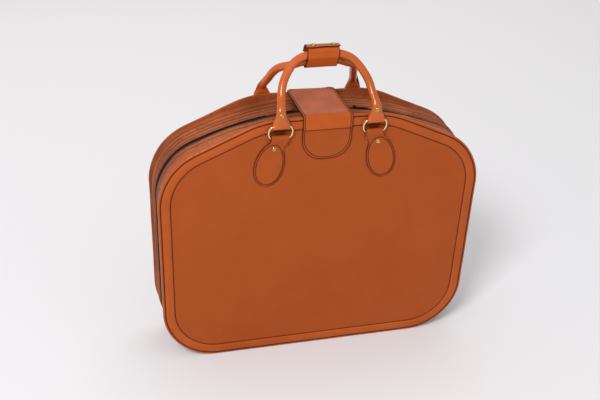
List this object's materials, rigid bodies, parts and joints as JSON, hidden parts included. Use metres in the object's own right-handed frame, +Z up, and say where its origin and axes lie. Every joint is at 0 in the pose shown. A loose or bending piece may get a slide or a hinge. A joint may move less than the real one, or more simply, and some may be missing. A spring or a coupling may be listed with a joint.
{
  "type": "suitcase",
  "caption": "Tan leather suitcase with a domed top, two stitched shells, a zip, a closing flap and rolled handles joined by a snap wrap",
  "frame": {"origin": "floor centre under the case, midway between the two border faces", "axes": "+X to the right seen from the front panel, +Y to the back, +Z up"},
  "size_m": [0.56, 0.1366, 0.5593],
  "materials": {
    "leather_tan": "smooth tan hide with a soft sheen",
    "leather_dark": "darker strip leather",
    "brass": "satin",
    "zip_teeth": "dark antique",
    "magnet_steel": "plated",
    "lining_cloth": "navy woven cloth",
    "board": "pressed board",
    "rope": "twisted cord"
  },
  "bodies": {
    "back_shell": {"back_panel": "leather_tan", "back_border": "leather_tan", "back_gusset": "leather_tan", "zip_placket": "leather_tan", "back_board": "board", "back_lining": "lining_cloth", "back_zip_tape": "lining_cloth", "back_zip_teeth": "zip_teeth", "back_tab_left": "leather_tan", "back_tab_right": "leather_tan", "back_tab_rivets": "brass", "magnet_seat": "magnet_steel", "hinge_strip": "leather_dark"},
    "front_shell": {"front_panel": "leather_tan", "front_border": "leather_tan", "front_gusset": "leather_tan", "front_board": "board", "front_lining": "lining_cloth", "front_zip_tape": "lining_cloth", "front_zip_teeth": "zip_teeth", "front_tab_left": "leather_tan", "front_tab_right": "leather_tan", "front_tab_rivets": "brass", "flap_tongue": "leather_tan"},
    "closure_flap": {"closure_flap": "leather_tan", "flap_magnet": "magnet_steel"},
    "front_ring_left": {"front_ring_left": "brass"},
    "front_ring_right": {"front_ring_right": "brass"},
    "back_ring_left": {"back_ring_left": "brass"},
    "back_ring_right": {"back_ring_right": "brass"},
    "front_handle": {"front_handle": "leather_tan", "front_handle_core": "rope", "front_handle_end_left": "leather_tan", "front_handle_end_right": "leather_tan", "front_handle_studs": "brass"},
    "back_handle": {"back_handle": "leather_tan", "back_handle_core": "rope", "back_handle_end_left": "leather_tan", "back_handle_end_right": "leather_tan", "back_handle_studs": "brass", "wrap_sleeve": "leather_tan"},
    "wrap_front": {"wrap_front": "leather_tan", "wrap_snap_posts": "brass"},
    "wrap_tab": {"wrap_tab": "leather_tan", "wrap_studs": "brass"},
    "slider_left": {"slider_left": "brass"},
    "slider_right": {"slider_right": "brass"},
    "pull_left": {"pull_left": "brass"},
    "pull_right": {"pull_right": "brass"}
  },
  "joints": [
    {"name": "shell_opening", "type": "hinge", "parent": "back_shell", "child": "front_shell", "pos_m": [0, -0.005, 0.0015], "axis": [1, 0, 0], "range_deg": [0, 90], "deforming": ["hinge_strip"]},
    {"name": "flap_lift", "type": "hinge", "parent": "front_shell", "child": "closure_flap", "pos_m": [0, -0.057, 0.45165], "axis": [1, 0, 0], "range_deg": [0, 38]},
    {"name": "front_ring_left_swing", "type": "hinge", "parent": "front_shell", "child": "front_ring_left", "pos_m": [-0.08, -0.0599, 0.42], "axis": [1, 0, 0], "range_deg": [0, 120]},
    {"name": "front_ring_right_swing", "type": "hinge", "parent": "front_shell", "child": "front_ring_right", "pos_m": [0.08, -0.0599, 0.42], "axis": [1, 0, 0], "range_deg": [0, 120]},
    {"name": "front_handle_swing", "type": "hinge", "parent": "front_ring_left", "child": "front_handle", "pos_m": [-0.08, -0.0637, 0.44065], "axis": [1, 0, 0], "range_deg": [0, 80]},
    {"name": "back_ring_left_swing", "type": "hinge", "parent": "back_shell", "child": "back_ring_left", "pos_m": [-0.08, 0.0599, 0.415], "axis": [-1, 0, 0], "range_deg": [0, 120]},
    {"name": "back_ring_right_swing", "type": "hinge", "parent": "back_shell", "child": "back_ring_right", "pos_m": [0.08, 0.0599, 0.415], "axis": [-1, 0, 0], "range_deg": [0, 120]},
    {"name": "back_handle_swing", "type": "hinge", "parent": "back_ring_left", "child": "back_handle", "pos_m": [-0.08, 0.0637, 0.43565], "axis": [-1, 0, 0], "range_deg": [0, 80]},
    {"name": "wrap_tab_lift", "type": "hinge", "parent": "back_handle", "child": "wrap_tab", "pos_m": [0, -0.0034, 0.5553], "axis": [-1, 0, 0], "range_deg": [0, 150], "deforming": ["wrap_tab"]},
    {"name": "wrap_front_fold", "type": "hinge", "parent": "back_handle", "child": "wrap_front", "pos_m": [0, -0.005, 0.517], "axis": [1, 0, 0], "range_deg": [0, 67.5], "deforming": ["wrap_front"]},
    {"name": "slider_left_run", "type": "hinge", "parent": "back_shell", "child": "slider_left", "pos_m": [0, -0.005, -0.10235], "axis": [0, -1, 0], "range_deg": [0, 15]},
    {"name": "slider_right_run", "type": "hinge", "parent": "back_shell", "child": "slider_right", "pos_m": [0, -0.005, -0.10235], "axis": [0, 1, 0], "range_deg": [0, 16]},
    {"name": "pull_left_lift", "type": "hinge", "parent": "slider_left", "child": "pull_left", "pos_m": [-0.06843, -0.005, 0.43929], "axis": [0, -1, 0], "range_deg": [0, 120]},
    {"name": "pull_right_lift", "type": "hinge", "parent": "slider_right", "child": "pull_right", "pos_m": [0.06275, -0.005, 0.43998], "axis": [0, -1, 0], "range_deg": [0, 120]}
  ],
  "couplings": [
    {"joint": "front_ring_right_swing", "follows": "front_ring_left_swing", "ratio": 1},
    {"joint": "back_ring_right_swing", "follows": "back_ring_left_swing", "ratio": 1},
    {"joint": "wrap_front_fold", "follows": "wrap_tab_lift", "ratio": 0.45}
  ]
}
